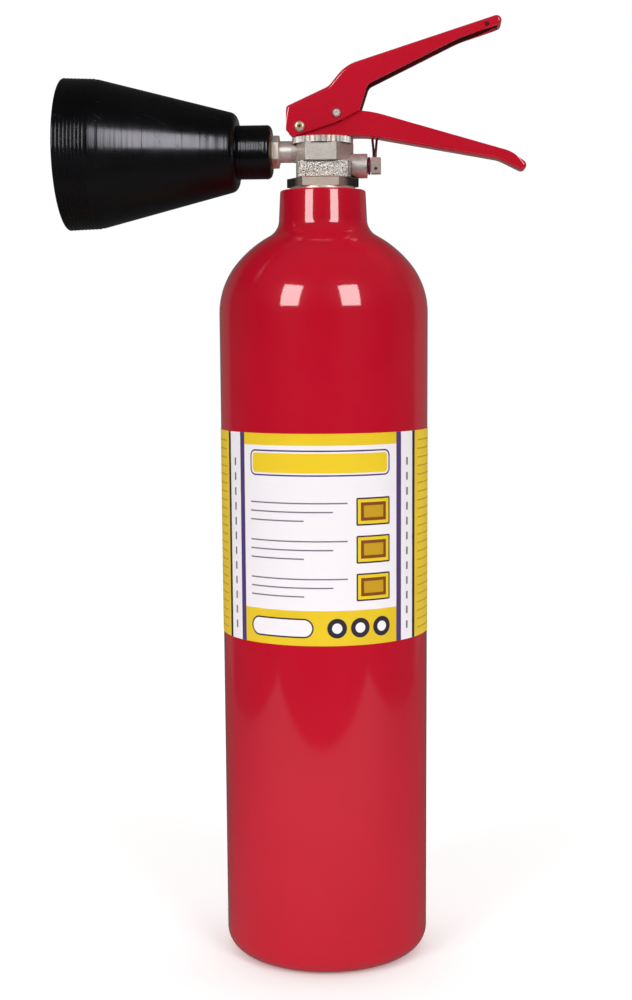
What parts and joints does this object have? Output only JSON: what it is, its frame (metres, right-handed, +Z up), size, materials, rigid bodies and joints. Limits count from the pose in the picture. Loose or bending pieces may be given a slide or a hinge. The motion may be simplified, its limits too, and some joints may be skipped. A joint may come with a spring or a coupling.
{
  "type": "portable carbon dioxide fire extinguisher",
  "caption": "Red portable carbon dioxide fire extinguisher with squeeze-grip valve, ring-pull safety pin and a short black cone horn.",
  "frame": {"origin": "middle of the foot ring, on the surface the cylinder stands on", "axes": "+Z up the cylinder's axis, +X along the grips and away from the horn, -Y towards the middle of the label"},
  "size_m": [0.2361, 0.1082, 0.4864],
  "materials": {
    "red_paint": "gloss",
    "label_film": "satin printed film",
    "plated": "nickel plated, satin",
    "brass": "machined",
    "steel": "zinc plated",
    "horn_black": "satin",
    "tube_plastic": "satin",
    "tie_plastic": "satin",
    "rubber": "matt"
  },
  "bodies": {
    "extinguisher": {"cylinder": "red_paint", "label": "label_film", "neck_seal": "brass", "valve_body": "plated", "gland_nut": "brass", "stem_seal": "rubber", "spring_retainer": "brass", "dip_tube": "tube_plastic", "burst_disc": "steel", "disc_washer": "brass", "relief_nut": "plated", "seal_tie": "tie_plastic", "lower_handle": "red_paint", "pivot_rivet": "plated", "pivot_sleeve": "steel", "discharge_pipe": "plated", "horn_locknut": "plated", "jet_nozzle": "brass", "return_spring": "steel"},
    "lever": {"upper_lever": "red_paint"},
    "stem": {"valve_stem": "steel", "plunger": "brass", "seat_seal": "rubber"},
    "pin": {"safety_pin": "steel"},
    "ring": {"pull_ring": "steel"},
    "horn": {"horn": "horn_black", "horn_bush": "brass"}
  },
  "joints": [
    {"name": "lever_squeeze", "type": "hinge", "parent": "extinguisher", "child": "lever", "pos_m": [-0.0111, 0, 0.43361], "axis": [0, 1, 0], "range_deg": [0, 6], "stiffness_Nm_per_rad": 3, "springref_deg": -11.46},
    {"name": "stem_slide", "type": "slide", "parent": "extinguisher", "child": "stem", "axis": [0, 0, -1], "range_m": [0, 0.0017], "deforming": ["return_spring"]},
    {"name": "pin_pull", "type": "slide", "parent": "lever", "child": "pin", "axis": [0, 1, 0], "range_m": [0, 0.045]},
    {"name": "ring_swing", "type": "hinge", "parent": "pin", "child": "ring", "pos_m": [0.0077, 0.01442, 0.44001], "axis": [0, 0, 1], "range_deg": [-60, 60]},
    {"name": "horn_spin", "type": "hinge", "parent": "extinguisher", "child": "horn", "pos_m": [-0.08, 0, 0.42191], "axis": [1, 0, 0], "continuous": true}
  ],
  "couplings": [
    {"joint": "stem_slide", "follows": "lever_squeeze", "m_per_rad": 0.0155}
  ]
}
